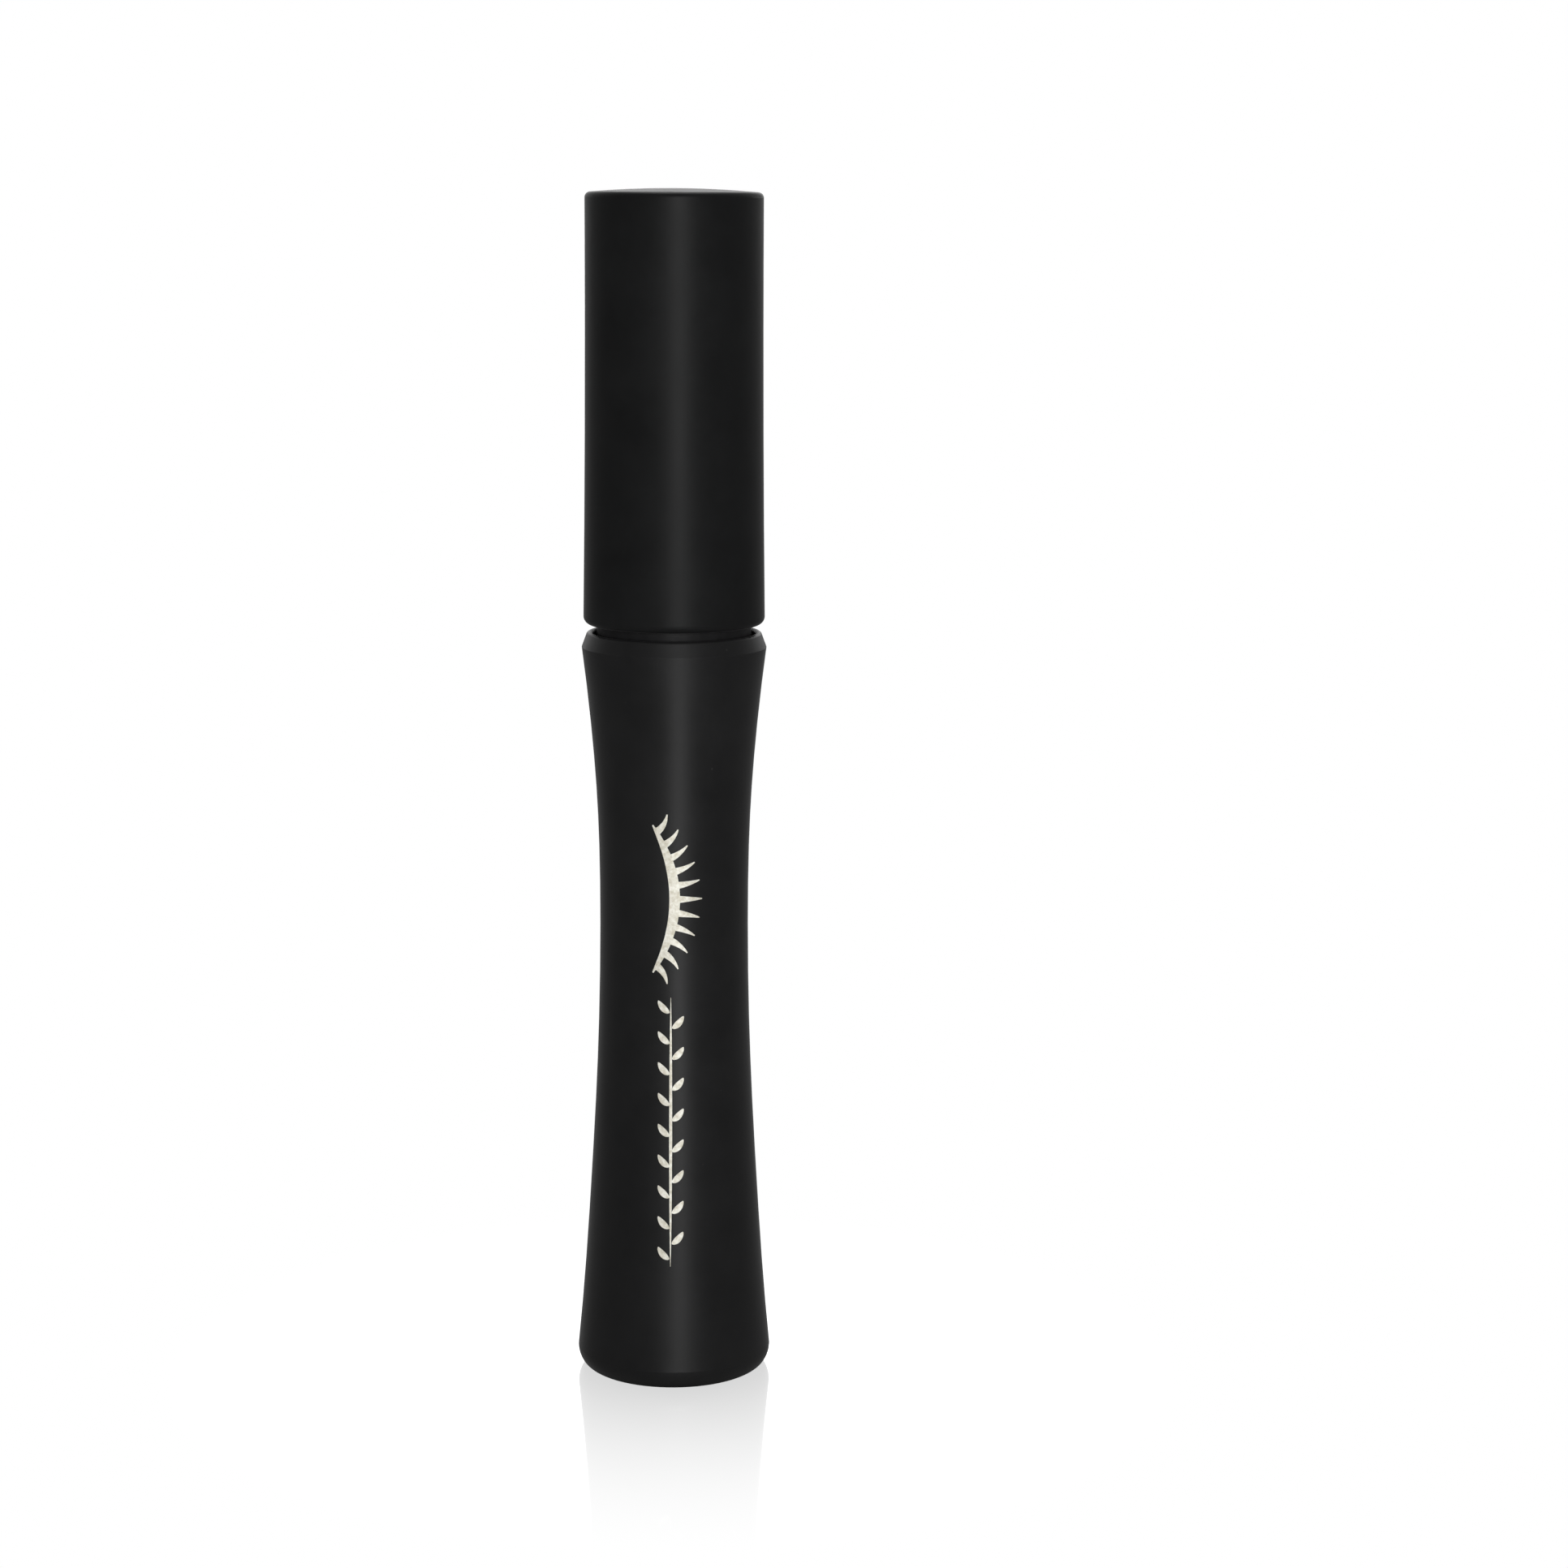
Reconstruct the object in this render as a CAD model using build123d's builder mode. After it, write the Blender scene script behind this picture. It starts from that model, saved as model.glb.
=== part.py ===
from build123d import *
import os
from math import asin, atan2, cos, degrees, pi, radians, sin

# A closed mascara tube: an hourglass bottle and a screw cap that carries the wand and its curved brush.
# Millimetres. Origin at the centre of the base, +Z up. The brush bends towards +X.

# ---- Overall ---------------------------------------------------------------------------------------
total_height = 125.0
fit_gap = 0.05  # between parts that are assembled and stay put
running_gap = 0.08  # between parts that turn or slide on each other

# ---- Barrel outside --------------------------------------------------------------------------------
collar_height = 79.36
collar_crest_outer_radius = 9.15
collar_crest_inner_radius = 8.5
collar_crest_rise = 0.2
collar_recess_taper = 0.4  # height of the slope between the recess in the collar and the flange's seat
base_flat_radius = 8.75
base_round_height = 2.1
# (height, radius) pairs down the hourglass side, from the base round to the collar edge
barrel_side = (
    (base_round_height, 10.29),
    (10.4, 9.54),
    (21.4, 8.79),
    (34.8, 8.09),
    (49.5, 7.81),
    (61.3, 8.07),
    (69.2, 8.67),
    (77.8, 9.65),
)

# ---- Inner vial ------------------------------------------------------------------------------------
vial_radius = 6.95
vial_wall = 0.75
vial_inner_radius = vial_radius - vial_wall
vial_floor_thickness = 0.8
plug_thickness = 1.75
plug_clearance = 0.15
vial_bottom = plug_thickness + plug_clearance
vial_floor = vial_bottom + vial_floor_thickness
flange_radius = 8.05
flange_bottom = 76.0
flange_seat_top = 77.6
shoulder_top = 80.5  # the flange stands out of the collar as a shoulder just below the cap's insert
shoulder_chamfer = 0.3
neck_radius = 6.3
neck_bore_radius = 5.2
neck_top = 92.0
thread_pitch = 3.0
thread_start_angle = 35.0
thread_crest_radius = 6.9
thread_root_half = 0.85  # half the ridge's width where it stands on the wall
thread_crest_half = 0.4
thread_bite = 0.15  # how far the ridge is sunk into the wall
neck_thread_start = 82.0
neck_thread_turns = 1.75

# ---- Barrel inside ---------------------------------------------------------------------------------
plug_seat_radius = 8.3
bore_foot_radius = 7.9
bore_waist_radius = vial_radius + fit_gap
bore_waist_low = 42.0
bore_waist_high = 60.0
bore_shoulder_radius = 7.6
flange_seat_radius = flange_radius + fit_gap

# ---- Base plug and label ---------------------------------------------------------------------------
plug_radius = plug_seat_radius - fit_gap
label_radius = 6.8
label_recess_radius = 7.0
label_recess_depth = 0.2
label_thickness = 0.12

# ---- Cap shell -------------------------------------------------------------------------------------
cap_bottom = 80.2
cap_top_drop = 0.42  # how far the shallow dome falls from its middle to its edge
cap_top_round = 0.6
cap_mouth_round = 0.8
cap_mouth_bore_radius = 8.45
cap_end_bore_radius = 8.2
cap_end_thickness = 1.4
# (height, radius) pairs up the nearly straight side, from the mouth to the closed end
cap_side = (
    (cap_bottom, 9.47),
    (98.5, 9.26),
    (112.0, 9.19),
    (total_height - cap_top_drop, 9.18),
)

# ---- Cap insert ------------------------------------------------------------------------------------
insert_setback = 0.7
insert_bottom = cap_bottom + insert_setback
insert_radius = 8.2
insert_mouth_radius = 7.7
insert_root_radius = 7.5
insert_crest_radius = thread_crest_radius + running_gap
insert_mouth_depth = 1.6
insert_thread_start = neck_thread_start + thread_pitch / 2
insert_thread_turns = 1.5
web_bottom = 93.8
web_thickness = 1.2
web_top = web_bottom + web_thickness
socket_radius = 3.9
socket_top = 107.0
rib_count = 6
rib_bite = 0.5
rib_setback = 0.1
rib_inner_radius = socket_radius - rib_bite
rib_outer_radius = insert_radius - rib_setback
rib_thickness = 0.8
rib_height = 8.0
seal_bead_radius = 7.05  # the bead that keeps the loose seal in the cap
seal_bead_height = 92.3
seal_bead_rise = 0.4

# ---- Wiper and seal --------------------------------------------------------------------------------
wiper_flange_thickness = 0.7
wiper_flange_radius = 6.25
wiper_radius = neck_bore_radius - fit_gap
wiper_wall = 0.6
wiper_stem_bottom = 87.0
wiper_throat_top = 83.4
wiper_throat_bottom = 82.2
wiper_orifice_radius = 2.45
seal_bottom = neck_top + wiper_flange_thickness + fit_gap
seal_thickness = web_bottom - fit_gap - seal_bottom
seal_bore_radius = 2.6
seal_radius = 7.3

# ---- Rod -------------------------------------------------------------------------------------------
rod_top = 106.0
rod_head_radius = 2.35
rod_foot_radius = 2.22
rod_cone_radius = 1.5
rod_cone_length = 1.5
brush_start = 30.8  # height of the rod's foot, where the wire comes out
barb_radius = 2.75
barb_bottom = 104.0
barb_height = 1.2
barb_middle = barb_bottom + barb_height / 2
barb_top = barb_bottom + barb_height
flute_count = 12  # fine crimp marks on the cone
flute_radius = 0.2
flute_depth = 0.1
flute_length = 5.0
wire_hole_radius = 0.43
wire_hole_depth = 9.0

# ---- Brush -----------------------------------------------------------------------------------------
wire_radius = 0.38
brush_length = 27.4
brush_bend_radius = 62.0
brush_tip_offset = -0.7  # where the wire ends, sideways from the rod's axis
bristle_centre_offset = 0.82  # the bristles are longer on the outside of the bend
bristle_pitch = 2.1
tufts_per_turn = 10
tuft_thickness = 0.4
tuft_half_angle = radians(14.0)
tuft_root_radius = 0.46
brush_margin = 1.2  # bare wire, shared by the brush's two ends
# (distance along the brush, radius of the bristles' round outline)
brush_outline = (
    (0.0, 3.55),
    (4.5, 3.9),
    (19.5, 3.8),
    (brush_length, 2.6),
)

# ---- Mascara formula -------------------------------------------------------------------------------
paste_bottom = vial_floor + fit_gap
paste_top = 58.0
hollow_gap = 0.25  # between the bristles' outline and the formula
hollow_sections = 14
hollow_overlap = 1.0  # how far the rod's hollow runs into the brush's

# ---- Brush geometry --------------------------------------------------------------------------------
chord_tilt = atan2(brush_tip_offset, brush_length)
half_bend = asin(brush_length / (2 * brush_bend_radius))
start_tilt = chord_tilt + half_bend
arc_length = 2 * brush_bend_radius * half_bend


def wire_plane(distance):
    """The plane across the brush wire, this far along it: x points out of the bend, z towards the tip."""
    turned = distance / brush_bend_radius
    tilt = start_tilt - turned
    x = brush_bend_radius * (cos(tilt) - cos(start_tilt))
    fall = brush_bend_radius * (sin(start_tilt) - sin(tilt))
    return Plane(
        origin=(x, 0, brush_start - fall),
        x_dir=(cos(tilt), 0, sin(tilt)),
        z_dir=(sin(tilt), 0, -cos(tilt)),
    )


def outline_radius(distance):
    """Radius of the bristles' round outline, this far along the brush."""
    for (low, low_radius), (high, high_radius) in zip(brush_outline, brush_outline[1:]):
        if distance <= high:
            share = (distance - low) / (high - low)
            return low_radius + share * (high_radius - low_radius)
    return brush_outline[-1][1]


def bristle_reach(distance, angle):
    """From the wire to the outline in one direction, this far along the brush."""
    radius = outline_radius(distance)
    sideways = bristle_centre_offset * sin(angle)
    return bristle_centre_offset * cos(angle) + (radius**2 - sideways**2) ** 0.5


def thread_ridge(root_radius, crest_radius, start_height, turns):
    """A helical ridge that stands on a cylinder: outwards, or inwards where the crest is the smaller."""
    bite = thread_bite if crest_radius > root_radius else -thread_bite
    with BuildLine() as path:
        Helix(
            pitch=thread_pitch,
            height=thread_pitch * turns,
            radius=root_radius,
            center=(0, 0, start_height),
        )
    across = Plane(origin=path.line @ 0, x_dir=(1, 0, 0), z_dir=path.line % 0)
    depth = crest_radius - root_radius
    with BuildPart() as ridge:
        with BuildSketch(across):
            Polygon(
                (-bite, -thread_root_half),
                (depth, -thread_crest_half),
                (depth, thread_crest_half),
                (-bite, thread_root_half),
                align=None,
            )
        sweep(path=path.line, is_frenet=True)
    return ridge.part


# ---- Bottle ----------------------------------------------------------------------------------------
with BuildPart() as outer_barrel:
    with BuildSketch(Plane.XZ):
        with BuildLine():
            Line((plug_seat_radius, 0), (base_flat_radius, 0))
            EllipticalCenterArc(
                center=(base_flat_radius, base_round_height),
                x_radius=barrel_side[0][1] - base_flat_radius,
                y_radius=base_round_height,
                start_angle=270,
                arc_size=90,
            )
            Spline(*[(radius, height) for height, radius in barrel_side])
            Line(
                (barrel_side[-1][1], barrel_side[-1][0]),
                (collar_crest_outer_radius, collar_height - collar_crest_rise),
            )
            ThreePointArc(
                (collar_crest_outer_radius, collar_height - collar_crest_rise),
                ((collar_crest_outer_radius + collar_crest_inner_radius) / 2, collar_height),
                (collar_crest_inner_radius, collar_height - collar_crest_rise),
            )
            Polyline(
                (collar_crest_inner_radius, collar_height - collar_crest_rise),
                (collar_crest_inner_radius, flange_seat_top + collar_recess_taper),
                (flange_seat_radius, flange_seat_top),
                (flange_seat_radius, flange_bottom),
                (bore_shoulder_radius, flange_bottom),
                (bore_waist_radius, bore_waist_high),
                (bore_waist_radius, bore_waist_low),
                (bore_foot_radius, plug_thickness),
                (plug_seat_radius, plug_thickness),
                (plug_seat_radius, 0),
            )
        make_face()
    revolve(axis=Axis.Z)

neck_thread = thread_ridge(neck_radius, thread_crest_radius, neck_thread_start, neck_thread_turns)

with BuildPart() as inner_vial:
    with BuildSketch(Plane.XZ):
        Polygon(
            (0, vial_bottom),
            (vial_radius, vial_bottom),
            (vial_radius, flange_bottom),
            (flange_radius, flange_bottom),
            (flange_radius, shoulder_top - shoulder_chamfer),
            (flange_radius - shoulder_chamfer, shoulder_top),
            (neck_radius, shoulder_top),
            (neck_radius, neck_top),
            (neck_bore_radius, neck_top),
            (neck_bore_radius, flange_seat_top),
            (vial_inner_radius, flange_bottom - 2 * vial_wall),
            (vial_inner_radius, vial_floor),
            (0, vial_floor),
            align=None,
        )
    revolve(axis=Axis.Z)
    add(neck_thread, rotation=(0, 0, thread_start_angle))

with BuildPart() as base_plug:
    Cylinder(plug_radius, plug_thickness, align=(Align.CENTER, Align.CENTER, Align.MIN))
    Cylinder(
        label_recess_radius,
        label_recess_depth,
        align=(Align.CENTER, Align.CENTER, Align.MIN),
        mode=Mode.SUBTRACT,
    )

with BuildPart() as base_label:
    with BuildSketch(Plane.XY.offset(label_recess_depth - label_thickness)):
        Circle(label_radius)
    extrude(amount=label_thickness)

with BuildPart() as wiper:
    with BuildSketch(Plane.XZ):
        Polygon(
            (wiper_flange_radius, neck_top),
            (wiper_flange_radius, neck_top + wiper_flange_thickness),
            (wiper_radius - wiper_wall, neck_top + wiper_flange_thickness),
            (wiper_radius - wiper_wall, wiper_stem_bottom),
            (wiper_orifice_radius, wiper_throat_top),
            (wiper_orifice_radius, wiper_throat_bottom),
            (wiper_orifice_radius + wiper_wall, wiper_throat_bottom),
            (wiper_orifice_radius + wiper_wall, wiper_throat_top - wiper_wall / 2),
            (wiper_radius, wiper_stem_bottom - wiper_wall / 2),
            (wiper_radius, neck_top),
            align=None,
        )
    revolve(axis=Axis.Z)

# ---- Formula, hollowed where the brush and the rod stand -------------------------------------------
with BuildPart() as brush_hollow:
    for section in range(hollow_sections + 1):
        distance = arc_length * section / hollow_sections
        with BuildSketch(wire_plane(distance)):
            with Locations((bristle_centre_offset, 0)):
                Circle(outline_radius(distance) + hollow_gap)
    loft()

with BuildPart() as mascara_paste:
    with BuildSketch(Plane.XY.offset(paste_bottom)):
        Circle(vial_inner_radius - fit_gap)
    extrude(amount=paste_top - paste_bottom)
    with BuildSketch(Plane.XY.offset(paste_top)):
        Circle(rod_head_radius + fit_gap)
    extrude(amount=brush_start - hollow_overlap - paste_top, mode=Mode.SUBTRACT)
    add(brush_hollow.part, mode=Mode.SUBTRACT)

# ---- Seal ------------------------------------------------------------------------------------------
with BuildPart() as cap_seal:
    with BuildSketch(Plane.XY.offset(seal_bottom)):
        Circle(seal_radius)
        Circle(seal_bore_radius, mode=Mode.SUBTRACT)
    extrude(amount=seal_thickness)

# ---- Cap -------------------------------------------------------------------------------------------
cap_mouth_edge = (cap_side[0][1], cap_bottom)
cap_dome_edge = (cap_side[-1][1], cap_side[-1][0])
cap_bore_end = total_height - cap_end_thickness

with BuildPart() as cap_shell:
    with BuildSketch(Plane.XZ) as cap_section:
        with BuildLine():
            Spline(*[(radius, height) for height, radius in cap_side])
            Spline(
                cap_dome_edge,
                (cap_dome_edge[0] / 2, total_height - cap_top_drop / 4),
                (0, total_height),
            )
            Polyline(
                (0, total_height),
                (0, cap_bore_end),
                (cap_end_bore_radius, cap_bore_end),
                (cap_mouth_bore_radius, cap_bottom),
                cap_mouth_edge,
            )
        make_face()
        fillet(cap_section.vertices().sort_by_distance(cap_dome_edge)[0], cap_top_round)
        fillet(cap_section.vertices().sort_by_distance(cap_mouth_edge)[0], cap_mouth_round)
    revolve(axis=Axis.Z)

insert_thread = thread_ridge(
    insert_root_radius, insert_crest_radius, insert_thread_start, insert_thread_turns
)

with BuildPart() as cap_insert:
    with BuildSketch(Plane.XZ):
        Polygon(
            (insert_mouth_radius, insert_bottom),
            (insert_radius, insert_bottom),
            (insert_radius, web_top),
            (socket_radius, web_top),
            (socket_radius, socket_top),
            (0, socket_top),
            (0, rod_top + fit_gap),
            (rod_head_radius + fit_gap, rod_top + fit_gap),
            (rod_head_radius + fit_gap, barb_top + fit_gap),
            (barb_radius + fit_gap, barb_middle + fit_gap),
            (barb_radius + fit_gap, barb_bottom - fit_gap),
            (rod_head_radius + fit_gap, barb_bottom - fit_gap),
            (rod_head_radius + fit_gap, web_bottom),
            (insert_root_radius, web_bottom),
            (insert_root_radius, seal_bead_height + seal_bead_rise),
            (seal_bead_radius, seal_bead_height),
            (insert_root_radius, seal_bead_height - seal_bead_rise),
            (insert_root_radius, insert_bottom + insert_mouth_depth),
            (insert_mouth_radius, insert_bottom + insert_mouth_depth / 2),
            align=None,
        )
    revolve(axis=Axis.Z)
    add(insert_thread, rotation=(0, 0, thread_start_angle))
    with Locations((0, 0, web_top)):
        with PolarLocations((rib_inner_radius + rib_outer_radius) / 2, rib_count):
            Box(
                rib_outer_radius - rib_inner_radius,
                rib_thickness,
                rib_height,
                align=(Align.CENTER, Align.CENTER, Align.MIN),
            )

# ---- Wand ------------------------------------------------------------------------------------------
cone_tilt = degrees(atan2(rod_foot_radius - rod_cone_radius, rod_cone_length))

with BuildPart() as wand_rod:
    with BuildSketch(Plane.XZ):
        Polygon(
            (0, rod_top),
            (rod_head_radius, rod_top),
            (rod_head_radius, barb_top),
            (barb_radius, barb_middle),
            (barb_radius, barb_bottom),
            (rod_head_radius, barb_bottom),
            (rod_head_radius, cap_bottom),
            (rod_foot_radius, brush_start + rod_cone_length),
            (rod_cone_radius, brush_start),
            (wire_hole_radius, brush_start),
            (wire_hole_radius, brush_start + wire_hole_depth),
            (0, brush_start + wire_hole_depth),
            align=None,
        )
    revolve(axis=Axis.Z)
    with Locations((0, 0, brush_start)):
        with PolarLocations(rod_cone_radius + flute_radius - flute_depth, flute_count):
            with Locations(Rotation(0, cone_tilt, 0)):
                Cylinder(flute_radius, flute_length, mode=Mode.SUBTRACT)

with BuildPart() as brush_wire:
    with BuildSketch(Plane.XY.offset(brush_start - wire_radius / 2)):
        Circle(wire_radius)
    extrude(amount=wire_hole_depth)
    with BuildLine() as wire_path:
        ThreePointArc(
            wire_plane(0).origin,
            wire_plane(arc_length / 2).origin,
            wire_plane(arc_length).origin,
        )
    with BuildSketch(wire_plane(0)):
        Circle(wire_radius)
    sweep(path=wire_path.line)

# Each tuft is a thin fan of bristles. Two helical rows of them turn about the wire, as the wire was twisted.
tuft_step = bristle_pitch / tufts_per_turn
tuft_count = int((arc_length - brush_margin) / tuft_step)
tufts = []
for row in (0, pi):
    for tuft in range(tuft_count):
        distance = brush_margin / 2 + tuft * tuft_step
        middle = row + 2 * pi * tuft / tufts_per_turn
        sides = (middle - tuft_half_angle, middle + tuft_half_angle)
        reach = bristle_reach(distance, middle)
        corners = [(tuft_root_radius * cos(side), tuft_root_radius * sin(side)) for side in sides]
        corners += [(reach * cos(side), reach * sin(side)) for side in reversed(sides)]
        with BuildSketch(wire_plane(distance)) as fan:
            Polygon(*corners, align=None)
        tufts.append(extrude(fan.sketch, amount=tuft_thickness / 2, both=True))

with BuildPart() as brush_bristles:
    add(tufts)

# ---- Pieces ----------------------------------------------------------------------------------------
pieces = {
    "outer_barrel": outer_barrel,
    "inner_vial": inner_vial,
    "base_plug": base_plug,
    "base_label": base_label,
    "wiper": wiper,
    "mascara_paste": mascara_paste,
    "cap_seal": cap_seal,
    "cap_shell": cap_shell,
    "cap_insert": cap_insert,
    "wand_rod": wand_rod,
    "brush_wire": brush_wire,
    "brush_bristles": brush_bristles,
}

os.makedirs("parts", exist_ok=True)
for name, piece in pieces.items():
    piece.part.label = name
    export_step(piece.part, f"parts/{name}.step")
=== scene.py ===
import math
import random

import bpy
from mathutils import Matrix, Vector
from mathutils.bvhtree import BVHTree


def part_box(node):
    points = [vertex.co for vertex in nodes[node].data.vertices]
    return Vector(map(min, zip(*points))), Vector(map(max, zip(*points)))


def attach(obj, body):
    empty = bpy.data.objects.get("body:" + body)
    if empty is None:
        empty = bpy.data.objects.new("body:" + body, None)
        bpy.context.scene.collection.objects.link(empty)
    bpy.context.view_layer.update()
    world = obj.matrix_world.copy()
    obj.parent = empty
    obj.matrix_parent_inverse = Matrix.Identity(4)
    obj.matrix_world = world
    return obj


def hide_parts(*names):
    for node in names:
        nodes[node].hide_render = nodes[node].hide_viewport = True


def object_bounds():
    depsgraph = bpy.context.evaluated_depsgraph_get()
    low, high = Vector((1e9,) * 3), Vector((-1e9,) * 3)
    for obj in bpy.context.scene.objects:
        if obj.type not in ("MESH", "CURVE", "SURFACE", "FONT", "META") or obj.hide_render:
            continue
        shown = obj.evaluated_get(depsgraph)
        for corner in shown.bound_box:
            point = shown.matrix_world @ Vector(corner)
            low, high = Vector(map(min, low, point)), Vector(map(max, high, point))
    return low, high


# A matt black mascara tube on a white floor. Lengths are metres in the CAD's frame, and names that end
# in _mm hold millimetres. The tube stands on z = 0 and its front faces -Y.

MM = 0.001
FULL_TURN = 2 * math.pi

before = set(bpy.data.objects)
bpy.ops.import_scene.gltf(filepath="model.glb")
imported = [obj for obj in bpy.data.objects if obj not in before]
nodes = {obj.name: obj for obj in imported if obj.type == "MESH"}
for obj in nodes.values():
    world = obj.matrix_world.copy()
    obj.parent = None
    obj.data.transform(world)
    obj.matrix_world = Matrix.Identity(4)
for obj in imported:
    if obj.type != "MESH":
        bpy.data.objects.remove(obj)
cad_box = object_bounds()

tube_height = cad_box[1].z
base_radius = cad_box[1].x
rod_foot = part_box("wand_rod")[0].z
wiper_top_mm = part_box("wiper")[1].z / MM


# ---- Mesh helpers ----------------------------------------------------------------------------------


def mesh_piece(name, vertices, faces, body, material, replaces=()):
    """A new smooth mesh object that rides on a CAD body."""
    mesh = bpy.data.meshes.new(name)
    mesh.from_pydata(vertices, [], faces)
    mesh.update()
    mesh.polygons.foreach_set("use_smooth", [True] * len(mesh.polygons))
    mesh.materials.append(material)
    piece = bpy.data.objects.new(name, mesh)
    bpy.context.scene.collection.objects.link(piece)
    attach(piece, body)
    if replaces:
        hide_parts(*replaces)
    return piece


def add_rings(faces, first, rings, sides):
    """Adds the skin and the two ends of a run of rings of vertices, which starts at vertex first."""
    for ring in range(rings - 1):
        low = first + ring * sides
        for corner in range(sides):
            following = (corner + 1) % sides
            faces.append((low + corner, low + following, low + sides + following, low + sides + corner))
    faces.append(tuple(reversed(range(first, first + sides))))
    last = first + (rings - 1) * sides
    faces.append(tuple(range(last, last + sides)))


def add_tube(vertices, faces, path, radii, sides, across):
    """Adds a closed tube along a path. across is any direction that isn't along the path."""
    first = len(vertices)
    for step, (point, radius) in enumerate(zip(path, radii)):
        ahead = path[min(step + 1, len(path) - 1)] - path[max(step - 1, 0)]
        side = ahead.cross(across).normalized()
        up = side.cross(ahead).normalized()
        for corner in range(sides):
            turn = FULL_TURN * corner / sides
            vertices.append(point + side * (radius * math.cos(turn)) + up * (radius * math.sin(turn)))
    add_rings(faces, first, len(path), sides)


# ---- Node helpers ----------------------------------------------------------------------------------


class Graph:
    """The node tree of a material or a world. A value is a number, a colour or another node's output."""

    def __init__(self, owner):
        owner.use_nodes = True
        self.tree = owner.node_tree
        self.tree.nodes.clear()

    def node(self, kind, settings=None, inputs=None):
        """Adds a node with its settings and its inputs, and returns its outputs."""
        made = self.tree.nodes.new("ShaderNode" + kind)
        for name, value in (settings or {}).items():
            setattr(made, name, value)
        for name, value in (inputs or {}).items():
            self.feed(made.inputs[name], value)
        return made.outputs

    def feed(self, target, value):
        if isinstance(value, bpy.types.NodeSocket):
            self.tree.links.new(value, target)
        elif isinstance(value, tuple) and target.type == "RGBA":
            target.default_value = (*value, 1.0)
        else:
            target.default_value = value

    def math(self, operation, a, b):
        return self.node("Math", {"operation": operation}, {0: a, 1: b})["Value"]

    def remap(self, value, before, after=(0.0, 1.0), easing="LINEAR"):
        """Takes the range before to the range after, and stays inside it."""
        inputs = {
            "Value": value,
            "From Min": before[0],
            "From Max": before[1],
            "To Min": after[0],
            "To Max": after[1],
        }
        return self.node("MapRange", {"interpolation_type": easing}, inputs)["Result"]

    def seen_by_camera(self):
        """1 for what the camera sees straight on, 0 for what lights or mirrors in something else."""
        return self.node("LightPath")["Is Camera Ray"]


class Shader(Graph):
    """A node material, with its textures placed in millimetres of object space."""

    def __init__(self, name):
        self.material = bpy.data.materials.new(name)
        super().__init__(self.material)
        inputs = {"Vector": self.node("TexCoord")["Object"], "Scale": (1 / MM, 1 / MM, 1 / MM)}
        self.place = self.node("Mapping", inputs=inputs)["Vector"]

    def stretched(self, x, y, z):
        """Object space squeezed along each axis, for streaks."""
        return self.node("Mapping", inputs={"Vector": self.place, "Scale": (x, y, z)})["Vector"]

    def noise(self, size_mm, detail=2.0, roughness=0.5, place=None):
        inputs = {
            "Vector": place or self.place,
            "Scale": 1 / size_mm,
            "Detail": detail,
            "Roughness": roughness,
        }
        return self.node("TexNoise", inputs=inputs)["Fac"]

    def cells(self, size_mm):
        """Distance from the middle of the nearest of many scattered cells."""
        return self.node("TexVoronoi", inputs={"Vector": self.place, "Scale": 1 / size_mm})["Distance"]

    def height(self):
        """Height above the floor, in millimetres."""
        return self.node("SeparateXYZ", inputs={"Vector": self.place})["Z"]

    def painted_gap_shade(self, reach_mm):
        """Ambient occlusion used as painted shade: 1 in the open, falling towards 0 deep in gaps."""
        return self.node("AmbientOcclusion", {"samples": 6}, {"Distance": reach_mm * MM})["AO"]

    def edge_wear(self, radius_mm):
        """1 on sharp edges, 0 elsewhere, told by how far a rounded normal turns from the true one."""
        rounded = self.node("Bevel", {"samples": 4}, {"Radius": radius_mm * MM})["Normal"]
        true = self.node("NewGeometry")["Normal"]
        agreement = self.node("VectorMath", {"operation": "DOT_PRODUCT"}, {0: rounded, 1: true})["Value"]
        return self.remap(agreement, (0.999, 0.93))

    def mix(self, share, first, second):
        return self.node("Mix", {"data_type": "RGBA"}, {"Factor": share, "A": first, "B": second})["Result"]

    def bump(self, height, strength, depth_mm, under=None):
        inputs = {"Height": height, "Strength": strength, "Distance": depth_mm * MM}
        if under is not None:
            inputs["Normal"] = under
        return self.node("Bump", inputs=inputs)["Normal"]

    def finish(self, **inputs):
        """Adds the surface from named Principled inputs and returns the material."""
        inputs = {name.replace("_", " "): value for name, value in inputs.items()}
        surface = self.node("BsdfPrincipled", inputs=inputs)["BSDF"]
        self.node("OutputMaterial", inputs={"Surface": surface})
        return self.material


def scaled(colour, factor):
    return tuple(factor * part for part in colour)


# ---- Materials -------------------------------------------------------------------------------------


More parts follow.
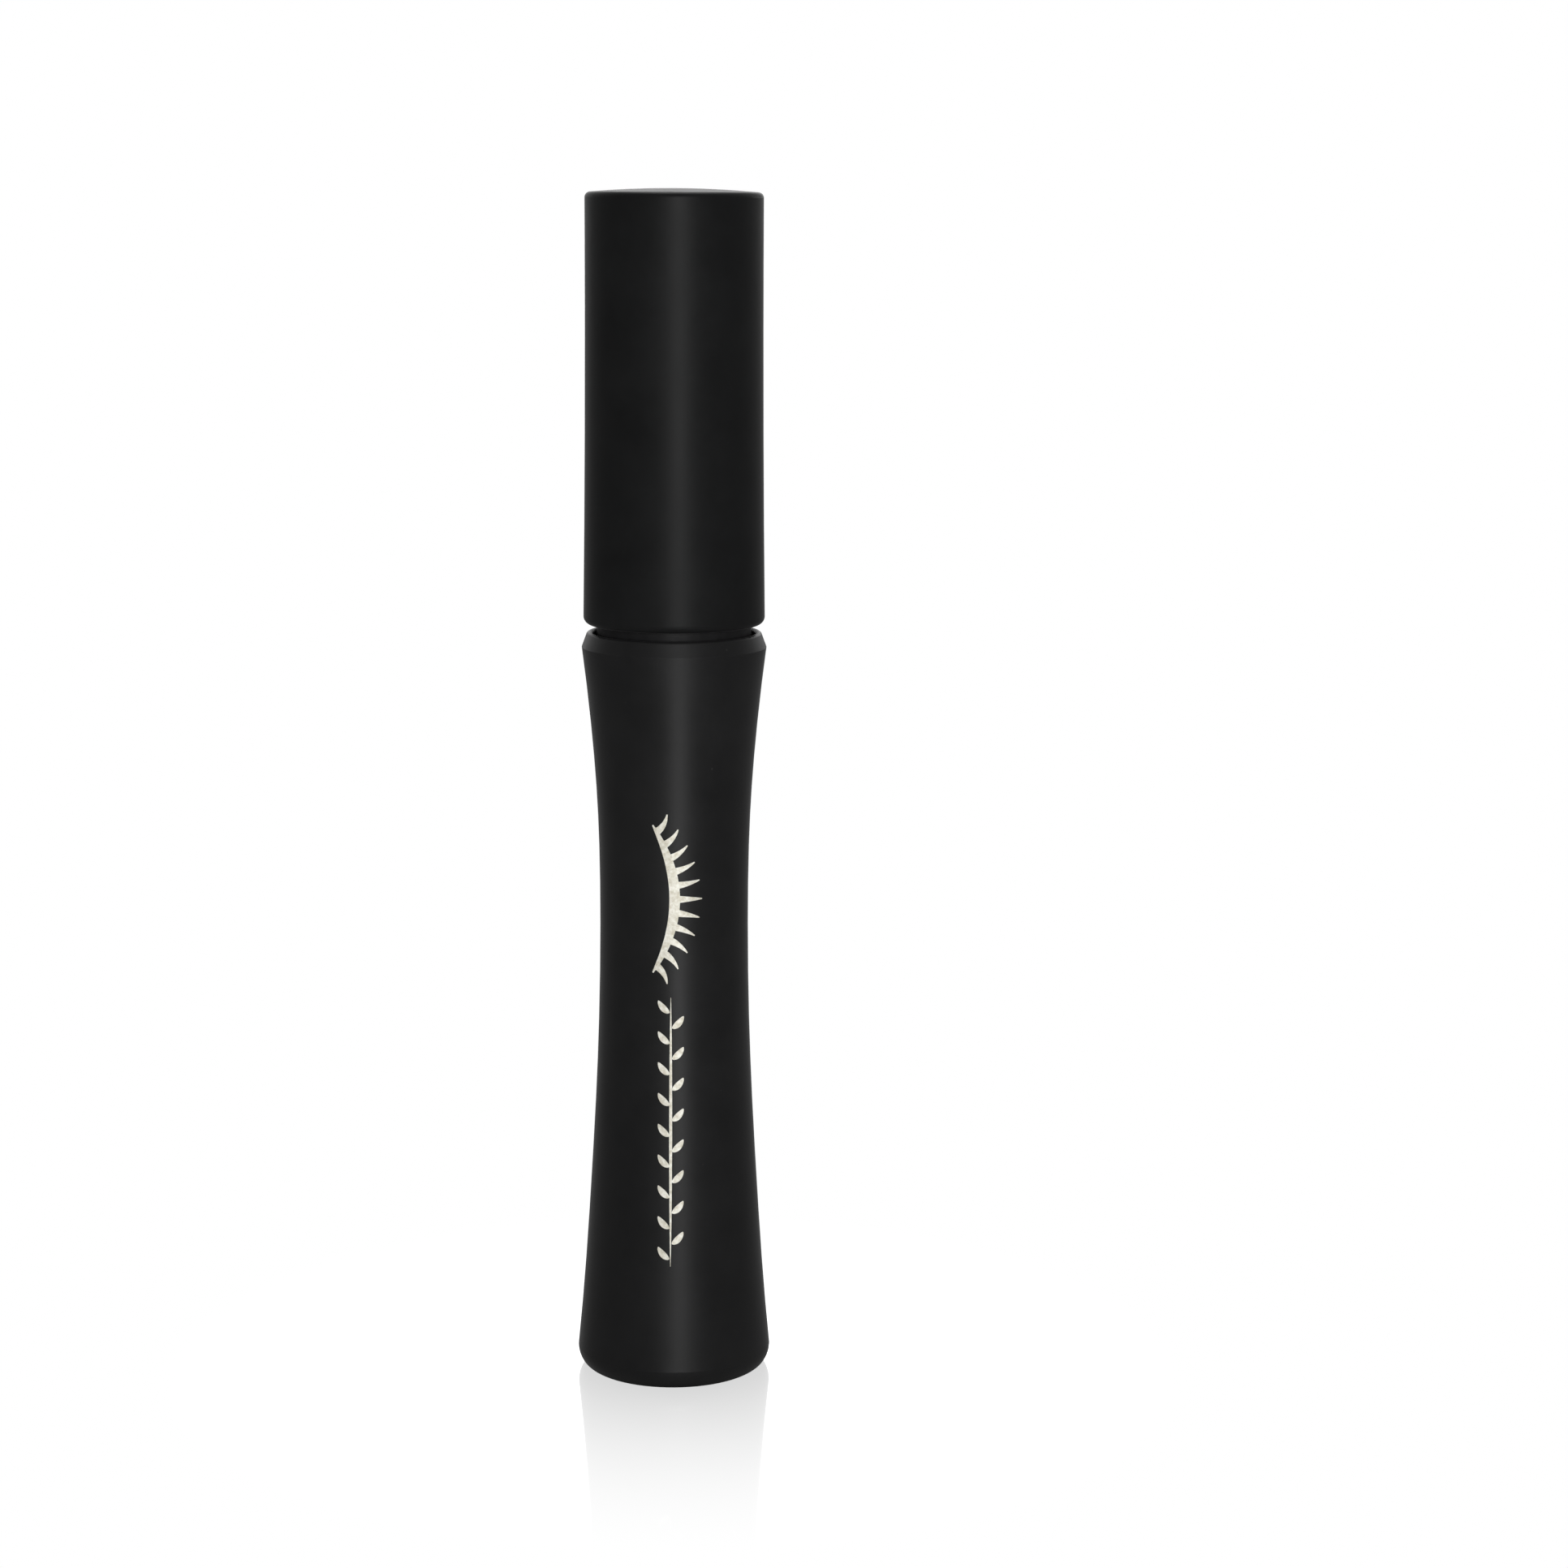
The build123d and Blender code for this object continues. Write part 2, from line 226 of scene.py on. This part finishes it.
def soft_touch(name, shade, roughness, specular):
    """Rubbery matt lacquer: a very fine grain, faint mottling, a little dust and lighter worn edges.

    Its shine and its sheen are painted down in narrow gaps by ambient occlusion, a painted shade.
    """
    dust_colour = (0.05, 0.05, 0.048)
    roughness_range = (roughness - 0.03, roughness + 0.03)
    sheen = 0.06
    look = Shader(name)
    mottle = look.noise(size_mm=6.0, detail=4.0, roughness=0.6)
    grain = look.noise(size_mm=0.09, detail=3.0, roughness=0.7)
    orange_peel = look.noise(size_mm=0.9)
    specks = look.remap(look.cells(size_mm=2.6), (0.03, 0.045), (1.0, 0.0))
    dusty_places = look.remap(look.noise(size_mm=1.7), (0.5, 0.62), (0.0, 0.5))
    worn_places = look.remap(look.noise(size_mm=0.8), (0.35, 0.7), (0.0, 0.5))
    dust = look.math("MULTIPLY", specks, dusty_places)
    wear = look.math("MULTIPLY", look.edge_wear(radius_mm=0.25), worn_places)
    colour = look.mix(look.remap(mottle, (0.3, 0.7)), scaled(shade, 0.85), scaled(shade, 1.15))
    colour = look.mix(wear, colour, scaled(shade, 2.6))
    colour = look.mix(dust, colour, dust_colour)
    # painted shade: ambient occlusion dims the shine and the sheen in narrow gaps
    painted_gap_shade = look.remap(look.painted_gap_shade(reach_mm=1.6), (0.25, 0.7), (0.05, 1.0))
    normal = look.bump(orange_peel, strength=0.10, depth_mm=0.02)
    normal = look.bump(grain, strength=0.25, depth_mm=0.004, under=normal)
    return look.finish(
        Base_Color=colour,
        Roughness=look.remap(mottle, (0.25, 0.75), roughness_range),
        Specular_IOR_Level=look.math("MULTIPLY", painted_gap_shade, specular),
        Sheen_Weight=look.math("MULTIPLY", painted_gap_shade, sheen),
        Sheen_Roughness=0.3,
        Normal=normal,
    )


def moulded_plastic(name, shade, roughness, specular=0.5):
    """Bare moulded plastic: a satin skin with faint flow streaks and handling marks."""
    look = Shader(name)
    flow = look.noise(size_mm=1.2, detail=3.0, place=look.stretched(1.0, 1.0, 0.12))
    skin = look.noise(size_mm=0.15)
    scuffs = look.noise(size_mm=0.5, detail=5.0, roughness=0.7, place=look.stretched(0.25, 0.25, 2.2))
    streaks = look.remap(flow, (0.3, 0.7), (0.0, 0.6))
    normal = look.bump(flow, strength=0.15, depth_mm=0.01)
    normal = look.bump(skin, strength=0.2, depth_mm=0.004, under=normal)
    return look.finish(
        Base_Color=look.mix(streaks, scaled(shade, 0.8), scaled(shade, 1.25)),
        Roughness=look.remap(scuffs, (0.35, 0.75), (roughness - 0.05, roughness + 0.12)),
        Specular_IOR_Level=specular,
        Normal=normal,
    )


def champagne_foil():
    """Hot-stamped foil: cloudy pale gold, a fine grain, and darker pits where it broke up."""
    dull_gold = (0.68, 0.64, 0.51)
    pale_gold = (0.98, 0.965, 0.875)
    pit_colour = (0.30, 0.26, 0.19)
    look = Shader("champagne_foil")
    grain = look.noise(size_mm=0.05, detail=3.0, roughness=0.7)
    cloud = look.noise(size_mm=0.5, detail=4.0, roughness=0.65)
    colour = look.mix(look.remap(cloud, (0.35, 0.65)), dull_gold, pale_gold)
    colour = look.mix(look.remap(grain, (0.62, 0.75), (0.0, 0.35)), colour, pit_colour)
    return look.finish(
        Base_Color=colour,
        Roughness=look.remap(grain, (0.3, 0.7), (0.38, 0.55)),
        Metallic=0.1,
        Specular_IOR_Level=0.5,
        Normal=look.bump(grain, strength=0.3, depth_mm=0.003),
    )


def wiper_rubber(stain_height_mm):
    """Natural elastomer, stained by the formula below a ragged line at the given height."""
    clean_colours = (0.52, 0.51, 0.49), (0.62, 0.61, 0.58)
    stain_colour = (0.006, 0.006, 0.0065)
    stain_fade_mm = 1.4
    look = Shader("wiper_rubber")
    raggedness = look.remap(look.noise(size_mm=0.8, detail=4.0), (0.0, 1.0), (-1.6, 1.6))
    line = look.math("ADD", look.height(), raggedness)
    stain = look.remap(line, (stain_height_mm, stain_height_mm - stain_fade_mm))
    clean = look.mix(look.noise(size_mm=0.6), *clean_colours)
    return look.finish(
        Base_Color=look.mix(stain, clean, stain_colour),
        Roughness=look.remap(stain, (0.0, 1.0), (0.5, 0.22)),
        Subsurface_Weight=0.1,
        Subsurface_Radius=(MM, MM, MM),
        Normal=look.bump(look.noise(size_mm=0.12), strength=0.2, depth_mm=0.01),
    )


def closed_foam():
    """Fine closed-cell foam."""
    look = Shader("closed_cell_foam")
    cells = look.cells(size_mm=0.16)
    colour = look.mix(look.remap(cells, (0.1, 0.7)), (0.74, 0.73, 0.70), (0.86, 0.85, 0.82))
    return look.finish(
        Base_Color=colour,
        Roughness=0.85,
        Normal=look.bump(cells, strength=0.6, depth_mm=0.05),
    )


def wet_cream():
    """The formula: black, wet and slightly ridged."""
    look = Shader("mascara_cream")
    folds = look.noise(size_mm=1.4, detail=4.0)
    return look.finish(
        Base_Color=look.mix(folds, (0.003, 0.003, 0.0035), (0.008, 0.0075, 0.008)),
        Roughness=look.remap(folds, (0.3, 0.7), (0.16, 0.32)),
        Coat_Weight=0.3,
        Normal=look.bump(folds, strength=0.5, depth_mm=0.15),
    )


def nylon_fibre():
    """Black nylon with a dry coat of formula in places."""
    look = Shader("nylon_fibre")
    coat = look.noise(size_mm=0.5, detail=4.0, roughness=0.7)
    bare_colour = (0.0022, 0.0022, 0.0025)
    coated_colour = (0.006, 0.0055, 0.006)
    return look.finish(
        Base_Color=look.mix(look.remap(coat, (0.45, 0.65)), bare_colour, coated_colour),
        Roughness=look.remap(coat, (0.35, 0.65), (0.38, 0.65)),
        Specular_IOR_Level=0.25,
        Normal=look.bump(coat, strength=0.4, depth_mm=0.02),
    )


def twisted_steel():
    """Drawn steel wire, dulled by a crust of dried formula."""
    look = Shader("coated_wire")
    draw_marks = look.noise(size_mm=0.2, detail=3.0, place=look.stretched(3.0, 3.0, 0.2))
    crust = look.remap(look.noise(size_mm=0.6, detail=5.0), (0.30, 0.42))
    steel = look.mix(draw_marks, (0.10, 0.10, 0.105), (0.22, 0.22, 0.23))
    return look.finish(
        Base_Color=look.mix(crust, steel, (0.006, 0.006, 0.006)),
        Metallic=look.remap(crust, (0.0, 1.0), (1.0, 0.0)),
        Roughness=look.remap(crust, (0.0, 1.0), (0.35, 0.6)),
        Normal=look.bump(draw_marks, strength=0.2, depth_mm=0.01),
    )


def label_film():
    """Blank white label film, faintly uneven in tone, with a fibrous surface."""
    look = Shader("label_film")
    tone = look.noise(size_mm=2.5, detail=4.0)
    fibre = look.noise(size_mm=0.1, detail=3.0, roughness=0.8)
    return look.finish(
        Base_Color=look.mix(look.remap(tone, (0.3, 0.7)), (0.70, 0.69, 0.66), (0.78, 0.77, 0.74)),
        Roughness=0.42,
        Normal=look.bump(fibre, strength=0.15, depth_mm=0.004),
    )


# ---- Finishes of the CAD pieces that are shown -----------------------------------------------------

clean_rim_mm = 1.2  # the wiper stays clean this far below its top

finishes = {
    "outer_barrel": soft_touch("soft_touch_barrel", (0.0120, 0.0120, 0.0123), roughness=0.39, specular=0.20),
    "cap_shell": soft_touch("soft_touch_cap", (0.0104, 0.0106, 0.0108), roughness=0.43, specular=0.076),
    "inner_vial": moulded_plastic("vial_plastic", (0.016, 0.016, 0.0165), roughness=0.44, specular=0.08),
    "base_plug": moulded_plastic("plug_plastic", (0.012, 0.012, 0.0125), roughness=0.45),
    "base_label": label_film(),
    "wiper": wiper_rubber(wiper_top_mm - clean_rim_mm),
    "mascara_paste": wet_cream(),
    "cap_seal": closed_foam(),
    "cap_insert": moulded_plastic("insert_plastic", (0.013, 0.0135, 0.014), roughness=0.42, specular=0.25),
    "wand_rod": moulded_plastic("rod_plastic", (0.0105, 0.0125, 0.0120), roughness=0.50, specular=0.08),
}
for name, material in finishes.items():
    slots = nodes[name].data.materials
    for number in range(len(slots)):
        slots[number] = material


# ---- Brush wire and bristles -----------------------------------------------------------------------

bend_radius = 62.0 * MM
tip_offset = -0.7 * MM
brush_length = 27.4 * MM
bristle_centre = 0.82 * MM  # the bristles' round outline is centred this far outside the wire
twist_pitch = 2.1 * MM
outline_stations = ((0.0, 3.55), (4.5, 3.9), (19.5, 3.8), (27.4, 2.6))  # (distance, radius), millimetres

chord_tilt = math.atan2(tip_offset, brush_length)
half_bend = math.asin(brush_length / (2 * bend_radius))
start_tilt = chord_tilt + half_bend
wire_length = 2 * bend_radius * half_bend


def wire_point(distance):
    """A point on the wire's bent centre line, counted from the rod's foot. Above the foot it is straight."""
    if distance < 0:
        return Vector((0, 0, rod_foot - distance))
    tilt = start_tilt - distance / bend_radius
    x = bend_radius * (math.cos(tilt) - math.cos(start_tilt))
    fall = bend_radius * (math.sin(start_tilt) - math.sin(tilt))
    return Vector((x, 0, rod_foot - fall))


def wire_axes(distance):
    """(out of the bend, sideways, along the wire) at a distance along the brush."""
    tilt = start_tilt - max(distance, 0) / bend_radius
    out = Vector((math.cos(tilt), 0, math.sin(tilt)))
    along = Vector((math.sin(tilt), 0, -math.cos(tilt)))
    return out, along.cross(out), along


def outward(distance, angle):
    """The direction away from the wire at an angle from the outside of the bend."""
    out, sideways, _ = wire_axes(distance)
    return out * math.cos(angle) + sideways * math.sin(angle)


def outline_radius(distance):
    here = distance / MM
    for (low, low_radius), (high, high_radius) in zip(outline_stations, outline_stations[1:]):
        if here <= high:
            share = (here - low) / (high - low)
            return (low_radius + share * (high_radius - low_radius)) * MM
    return outline_stations[-1][1] * MM


def bristle_reach(distance, angle):
    """Length from the wire to the bristles' round outline, which isn't centred on the wire."""
    radius = outline_radius(distance)
    sideways = bristle_centre * math.sin(angle)
    return bristle_centre * math.cos(angle) + math.sqrt(radius**2 - sideways**2)


def build_wire(material):
    """The folded wire: two legs twisted round each other, straight inside the rod and bent outside it."""
    vertices, faces = [], []
    leg_radius = 0.21 * MM
    leg_offset = 0.17 * MM
    leg_sides = 8
    buried = 2.0 * MM
    steps = 420
    for leg in (0.0, math.pi):
        path = []
        for step in range(steps + 1):
            distance = -buried + (wire_length + buried) * step / steps
            turn = leg + FULL_TURN * distance / twist_pitch
            path.append(wire_point(distance) + outward(distance, turn) * leg_offset)
        add_tube(vertices, faces, path, [leg_radius] * len(path), leg_sides, Vector((0, 1, 0)))
    mesh_piece(
        "twisted_wire", vertices, faces, "applicator", material, replaces=["brush_wire"]
    )


def add_fibre(vertices, faces, path, root_radius, tip_radius, across):
    """One tapering three-sided fibre along a short path."""
    last = len(path) - 1
    radii = [root_radius + (tip_radius - root_radius) * step / last for step in range(last + 1)]
    add_tube(vertices, faces, path, radii, 3, across)


def held(distance):
    """Keeps a fibre's root on the brush's length of wire."""
    return min(max(distance, 0.25 * MM), wire_length - 0.15 * MM)


def bent_path(root, straight_tip, tip):
    """A curve that leaves the root towards straight_tip and ends at tip."""
    rings = 5
    straight_share = 0.55
    middle = root.lerp(straight_tip, straight_share)
    path = []
    for ring in range(rings):
        share = ring / (rings - 1)
        path.append(root.lerp(middle, share).lerp(middle.lerp(tip, share), share))
    return path


def build_bristles(material):
    """Nylon fibres in two helical rows, long outside the bend and short inside it.

    Long fibres gather into clumps. Where a row passes the outside of the bend its clumps draw
    together too, which leaves gaps between one pass and the next. Shorter fibres fill the brush
    round its wire.
    """
    draw = random.Random(7)
    vertices, faces = [], []
    bare_end = 0.35 * MM
    turns = (wire_length - 2 * bare_end) / twist_pitch
    clump_angle = math.radians(24.0)
    clumps = int(turns * FULL_TURN / clump_angle)
    long_fibres = 9
    short_fibres = 8
    short_root_radius = 0.056 * MM
    short_tip_radius = 0.034 * MM
    broken_share = 0.12
    pass_draw = 0.52  # how much of a pass's length closes up outside the bend
    # spreads of angles, in radians, and of leans along the wire, as slopes
    clump_turn_spread = 0.10
    fibre_turn_spread = 0.05
    pass_lean_spread = 0.085
    clump_lean_spread = 0.025
    fibre_lean_spread = 0.035
    short_lean_spread = 0.12
    # spreads of lengths
    fibre_trim_spread = 0.05
    long_root_spread = 0.10 * MM
    short_root_spread = 0.34 * MM
    short_bow_spread = 0.06 * MM
    pass_leans = [draw.gauss(0, pass_lean_spread) for _ in range(int(turns) + 3)]

    for row in (0.0, math.pi):
        for clump in range(clumps):
            turn = clump * clump_angle
            distance = bare_end + turn / FULL_TURN * twist_pitch
            angle = row + turn + draw.gauss(0, clump_turn_spread)
            outside = 0.5 + 0.5 * math.cos(angle)  # 1 on the outside of the bend, 0 on the inside
            reach = bristle_reach(distance, angle) * draw.uniform(0.93, 1.0)
            along = wire_axes(distance)[2]
            past_outside = math.remainder(row + turn, FULL_TURN)
            this_pass = round((row + turn) / FULL_TURN)
            drift = -pass_draw * outside * past_outside / FULL_TURN * twist_pitch
            lean = pass_leans[this_pass] + draw.gauss(0, clump_lean_spread) + drift / reach
            gather = draw.uniform(0.4, 0.95) * (0.5 + 0.5 * outside)
            clump_way = outward(distance, angle) + along * lean
            # long fibres are thicker outside the bend, where formula sticks them together
            root_radius = (0.044 + 0.014 * outside) * MM
            tip_radius = (0.022 + 0.026 * outside) * MM
            for fibre in range(long_fibres):
                spread = ((fibre + 0.5) / long_fibres - 0.5) * clump_angle
                own_angle = angle + spread + draw.gauss(0, fibre_turn_spread)
                own_distance = distance + spread / FULL_TURN * twist_pitch
                own_distance = held(own_distance + draw.gauss(0, long_root_spread))
                length = reach * (1 - abs(draw.gauss(0, fibre_trim_spread)))
                if draw.random() < broken_share:
                    length *= draw.uniform(0.6, 0.9)
                own_lean = lean + draw.gauss(0, fibre_lean_spread)
                own_way = outward(own_distance, own_angle) + along * own_lean
                root = wire_point(own_distance)
                straight_tip = root + own_way * length
                clump_tip = wire_point(distance) + clump_way * length
                tip = straight_tip.lerp(clump_tip, gather * draw.uniform(0.5, 1.0))
                add_fibre(vertices, faces, bent_path(root, straight_tip, tip), root_radius, tip_radius, along)
            for _ in range(short_fibres):
                own_angle = angle + draw.uniform(-0.5, 0.5) * clump_angle
                own_distance = held(distance + draw.gauss(0, short_root_spread))
                share_of_reach = draw.uniform(0.36, 0.72 - 0.1 * outside)
                length = bristle_reach(own_distance, own_angle) * share_of_reach
                own_way = outward(own_distance, own_angle) + along * draw.gauss(0, short_lean_spread)
                root = wire_point(own_distance)
                bowed = root + own_way * (0.55 * length) + along * draw.gauss(0, short_bow_spread)
                path = [root, bowed, root + own_way * length]
                add_fibre(vertices, faces, path, short_root_radius, short_tip_radius, along)
    mesh_piece(
        "nylon_bristles", vertices, faces, "applicator", material, replaces=["brush_bristles"]
    )


build_wire(twisted_steel())
build_bristles(nylon_fibre())


# ---- Foil motif on the bottle ----------------------------------------------------------------------

barrel_surface = BVHTree.FromObject(nodes["outer_barrel"], bpy.context.evaluated_depsgraph_get())
foil_back = 0.006 * MM  # heights of the foil's two faces above the barrel
foil_front = 0.026 * MM


def on_barrel(across_mm, height_mm, lift):
    """A point just off the barrel's front, this far round it to the right and this far above the floor."""
    far = 2 * base_radius
    height = height_mm * MM
    radius = far - barrel_surface.ray_cast(Vector((0, -far, height)), Vector((0, 1, 0)))[3] + lift
    turn = across_mm * MM / radius
    return Vector((radius * math.sin(turn), -radius * math.cos(turn), height))


def add_stroke(vertices, faces, points, widths):
    """A closed ribbon of foil through points given as (across, height), millimetres, with a width at each.

    Each step along it is a ring: its front face from one edge to the other, then its back face.
    """
    first = len(vertices)
    sides = (-0.5, -0.25, 0.0, 0.25, 0.5)
    ring = [(side, foil_front) for side in sides] + [(side, foil_back) for side in reversed(sides)]
    for step, ((across, height), width) in enumerate(zip(points, widths)):
        before = points[max(step - 1, 0)]
        after = points[min(step + 1, len(points) - 1)]
        run = Vector((after[0] - before[0], after[1] - before[1])).normalized()
        for side, lift in ring:
            vertices.append(on_barrel(across - run.y * width * side, height + run.x * width * side, lift))
    add_rings(faces, first, len(points), len(ring))


def swelling(width, steps):
    """Widths of a stroke that swells in its middle and thins at its ends."""
    end = 0.12
    shares = [math.sin(math.pi * step / steps) ** 0.7 for step in range(steps + 1)]
    return [width * (end + (1 - end) * share) for share in shares]


def build_motif(material):
    """A closed-lash arc above a slender sprig, with its lengths in millimetres."""
    vertices, faces = [], []
    steps = 14
    runs = [step / steps for step in range(steps + 1)]

    # the lash line: an arc that runs down the bottle, with lashes that fan out from it to the right
    arc_top, arc_bottom = 60.2, 44.6
    arc_left, arc_depth, arc_width = -2.0, 2.3, 1.1
    lashes = 11
    lash_width = 0.8
    lash_length = 2.9
    lash_shortening = 0.8  # at the arc's two ends
    lash_fan = math.radians(100.0)

    def on_arc(share):
        return (arc_left + arc_depth * 4 * share * (1 - share), arc_top + (arc_bottom - arc_top) * share)

    arc_steps = 2 * steps
    arc = [on_arc(step / arc_steps) for step in range(arc_steps + 1)]
    add_stroke(vertices, faces, arc, swelling(arc_width, arc_steps))
    for lash in range(lashes):
        share = (lash + 0.5) / lashes
        across, height = on_arc(share)
        lean = lash_fan * (0.5 - share)  # upwards above the middle, downwards below it
        length = lash_length - lash_shortening * 2 * abs(0.5 - share)
        points = []
        for run in runs:
            turned = lean * (0.75 + 0.55 * run)  # a lash curls as it runs out
            x = across + length * run * math.cos(turned)
            points.append((x, height + length * run * math.sin(turned)))
        add_stroke(vertices, faces, points, [lash_width * (1 - 0.85 * run**1.3) for run in runs])

    # the sprig: a thin stem with small leaves that alternate
    stem_top, stem_bottom = 42.0, 13.4
    stem_across, stem_width = -0.1, 0.32
    top_leaf, bottom_leaf = stem_top - 1.6, stem_bottom + 0.8
    leaves = 17
    leaf_width = 0.68
    stem = [(stem_across, stem_top + (stem_bottom - stem_top) * run) for run in runs]
    add_stroke(vertices, faces, stem, swelling(stem_width, steps))
    for leaf in range(leaves):
        side = 1 if leaf % 2 else -1
        root_height = top_leaf + (bottom_leaf - top_leaf) * leaf / (leaves - 1)
        points = []
        for run in runs:  # a leaf starts out sideways and curves upwards
            x = stem_across + side * (0.12 + 1.35 * run - 0.15 * run**2)
            points.append((x, root_height + 0.5 * run + 0.75 * run**2))
        add_stroke(vertices, faces, points, swelling(leaf_width, steps))

    motif = mesh_piece("foil_motif", vertices, faces, "bottle", material)
    motif.data.set_sharp_from_angle(angle=math.radians(40.0))


build_motif(champagne_foil())


# ---- Stage -----------------------------------------------------------------------------------------

WHITE = (1.0, 1.0, 1.0)
room_light = 0.18  # how bright the white room is to everything but the camera
back_wall_light = 0.85  # the same, straight behind the tube
floor_half_side = 40.0
mirror_reach = 56 * MM  # where the floor has stopped mirroring the tube
mirror_share = 0.45  # how much the floor mirrors under the tube's axis
mirror_falloff = 1.9
mirror_roughness = 0.04


def build_world():
    """White to the camera. To the objects it is dimmer in front of them and lighter behind them."""
    world = bpy.data.worlds.new("white_room")
    bpy.context.scene.world = world
    room = Graph(world)
    way_back = room.node("SeparateXYZ", inputs={"Vector": room.node("TexCoord")["Generated"]})["Y"]
    lit = room.remap(way_back, (0.0, 1.0), (room_light, back_wall_light), easing="SMOOTHSTEP")
    inputs = {"Factor": room.seen_by_camera(), "A": lit, "B": 1.0}
    strength = room.node("Mix", {"data_type": "FLOAT"}, inputs)["Result"]
    background = room.node("Background", inputs={"Color": WHITE, "Strength": strength})["Background"]
    room.node("OutputWorld", inputs={"Surface": background})


def build_floor():
    """A white floor that mirrors the tube faintly near its base, fading with distance."""
    material = bpy.data.materials.new("studio_floor")
    look = Graph(material)
    seen = look.seen_by_camera()
    glow_strength = look.remap(seen, (0.0, 1.0), (room_light, 1.0))
    glow = look.node("Emission", inputs={"Strength": glow_strength})["Emission"]
    mirror_colour = scaled(WHITE, 1 / back_wall_light)  # a mirrored back wall is as white as the floor
    mirror = look.node("BsdfGlossy", inputs={"Color": mirror_colour, "Roughness": mirror_roughness})["BSDF"]
    position = look.node("NewGeometry")["Position"]
    from_base = look.node("VectorMath", {"operation": "LENGTH"}, {0: position})["Value"]
    nearness = look.remap(from_base, (0.0, mirror_reach), (1.0, 0.0))
    fade = look.math("POWER", nearness, mirror_falloff)
    share = look.math("MULTIPLY", look.math("MULTIPLY", fade, mirror_share), seen)
    surface = look.node("MixShader", inputs={"Fac": share, 1: glow, 2: mirror})["Shader"]
    look.node("OutputMaterial", inputs={"Surface": surface})

    mesh = bpy.data.meshes.new("studio_floor")
    side = floor_half_side
    corners = [(-side, -side, 0), (side, -side, 0), (side, side, 0), (-side, side, 0)]
    mesh.from_pydata(corners, [], [(0, 1, 2, 3)])
    mesh.materials.append(material)
    floor = bpy.data.objects.new("studio_floor", mesh)
    bpy.context.scene.collection.objects.link(floor)


def area_light(name, place, aim, width, height, watts):
    """A rectangular light that the camera doesn't see."""
    data = bpy.data.lights.new(name, "AREA")
    data.shape = "RECTANGLE"
    data.size = width
    data.size_y = height
    data.energy = watts
    light = bpy.data.objects.new(name, data)
    light.location = place
    light.visible_camera = False
    light.rotation_euler = (Vector(aim) - Vector(place)).to_track_quat("-Z", "Y").to_euler()
    bpy.context.scene.collection.objects.link(light)


def build_lights():
    """Two strips for the highlight and two soft fills.

    One strip lies on the floor, because the bottle's upper half faces down and mirrors the floor.
    """
    middle = (0, 0, 0.5 * tube_height)
    area_light("key_strip", (0.11, -0.80, 0.10), middle, width=0.10, height=0.60, watts=5.8)
    area_light("floor_strip", (0.024, -0.28, 0.004), (0.024, -0.28, 1.0), width=0.03, height=0.36, watts=0.17)
    area_light("top_soft", (0.0, 0.25, 0.75), middle, width=0.4, height=0.4, watts=2.8)
    area_light("back_panel", (0.0, 0.9, 0.34), middle, width=0.5, height=0.3, watts=0.7)


def build_camera():
    """Eye level with the cap's top, looking down at the bottle, with the tube left of the middle."""
    camera_distance = 2.9125 * tube_height
    camera_right = 11.22 * MM
    pitch_down = math.radians(9.626)
    roll = -math.radians(0.31)
    data = bpy.data.cameras.new("camera")
    data.sensor_width = 36.0
    data.lens = 80.59
    data.clip_start = 0.01
    camera = bpy.data.objects.new("camera", data)
    camera.location = (camera_right, -camera_distance, tube_height)
    camera.rotation_euler = (math.pi / 2 - pitch_down, roll, 0)
    bpy.context.scene.collection.objects.link(camera)
    bpy.context.scene.camera = camera


build_world()
build_floor()
build_lights()
build_camera()
bpy.context.scene.view_settings.view_transform = "Standard"
